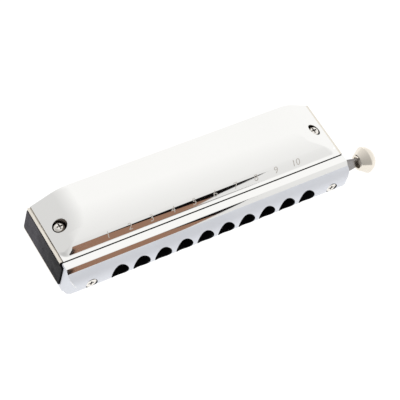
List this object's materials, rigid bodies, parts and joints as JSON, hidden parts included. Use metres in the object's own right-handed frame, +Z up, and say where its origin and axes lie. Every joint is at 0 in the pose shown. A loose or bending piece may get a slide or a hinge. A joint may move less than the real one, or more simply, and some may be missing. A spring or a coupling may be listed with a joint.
{
  "type": "chromatic harmonica",
  "caption": "Slide mouth organ with a round-nosed mouthpiece, a row of round holes, pressed covers open at the back and a spring-returned side button.",
  "frame": {"origin": "on the lower cover's flat crown, midway between the cover screws", "axes": "+X along the row of holes towards the button, +Y from the mouthpiece to the open back, +Z up through the upper cover"},
  "size_m": [0.1417, 0.0354, 0.0264],
  "materials": {
    "comb_plastic": "moulded, satin gloss",
    "chrome": "polished plating",
    "slide_plate": "plated sheet",
    "screws": "plated",
    "spring_wire": "drawn wire",
    "plates": "nickelled brass",
    "reeds": "ground",
    "rivets": "plain",
    "valves": "thin film"
  },
  "bodies": {
    "body": {"comb": "comb_plastic", "mouthpiece": "chrome", "upper_cover": "chrome", "lower_cover": "chrome", "slide_back_plate": "slide_plate", "slide_front_plate": "slide_plate", "cover_screws": "screws", "mouthpiece_screws": "screws", "spring_pin": "screws", "upper_reed_plate": "plates", "upper_blow_reeds": "reeds", "upper_draw_reeds": "reeds", "upper_reed_rivets": "rivets", "upper_outer_valves": "valves", "upper_inner_valves": "valves", "upper_plate_screws": "screws", "lower_reed_plate": "plates", "lower_blow_reeds": "reeds", "lower_draw_reeds": "reeds", "lower_reed_rivets": "rivets", "lower_outer_valves": "valves", "lower_inner_valves": "valves", "lower_plate_screws": "screws"},
    "slide": {"slide": "slide_plate", "button": "chrome", "button_pin": "screws"},
    "spring": {"return_spring": "spring_wire"}
  },
  "joints": [
    {"name": "slide_press", "type": "slide", "parent": "body", "child": "slide", "axis": [-1, 0, 0], "range_m": [0, 0.0047], "stiffness_N_per_m": 300, "springref_m": -0.004},
    {"name": "spring_turn", "type": "hinge", "parent": "body", "child": "spring", "pos_m": [0.056, -0.00565, 0.0158], "axis": [0, 0, -1], "range_deg": [0, 26]}
  ],
  "couplings": [
    {"joint": "spring_turn", "follows": "slide_press", "rad_per_m": 96.5}
  ]
}
